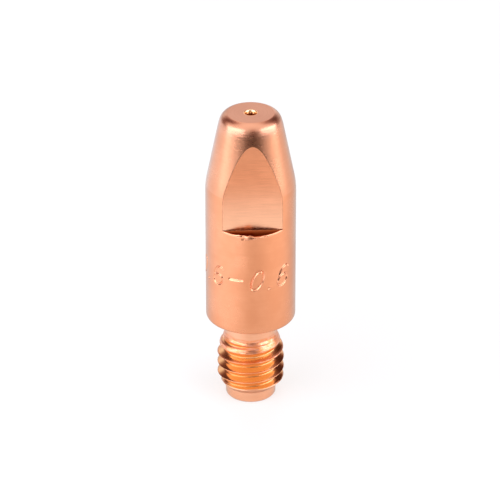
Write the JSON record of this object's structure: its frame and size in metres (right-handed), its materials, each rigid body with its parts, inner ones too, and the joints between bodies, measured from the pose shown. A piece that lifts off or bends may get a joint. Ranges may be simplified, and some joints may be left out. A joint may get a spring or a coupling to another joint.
{
  "type": "welding contact tip",
  "caption": "Turned copper contact tip with a tapered nose, milled spanner flats, a straight wire bore and a threaded shank; it guides welding wire and passes it the current.",
  "frame": {"origin": "centre of the thread end, on the tip's axis", "axes": "+Z along the axis from the thread end to the nose, -Y towards the marked spanner flat, +X to its right"},
  "size_m": [0.008, 0.008, 0.028],
  "materials": {
    "copper": "bright turned and milled copper, uncoated"
  },
  "bodies": {
    "root": {"contact_tip": "copper"}
  },
  "joints": []
}
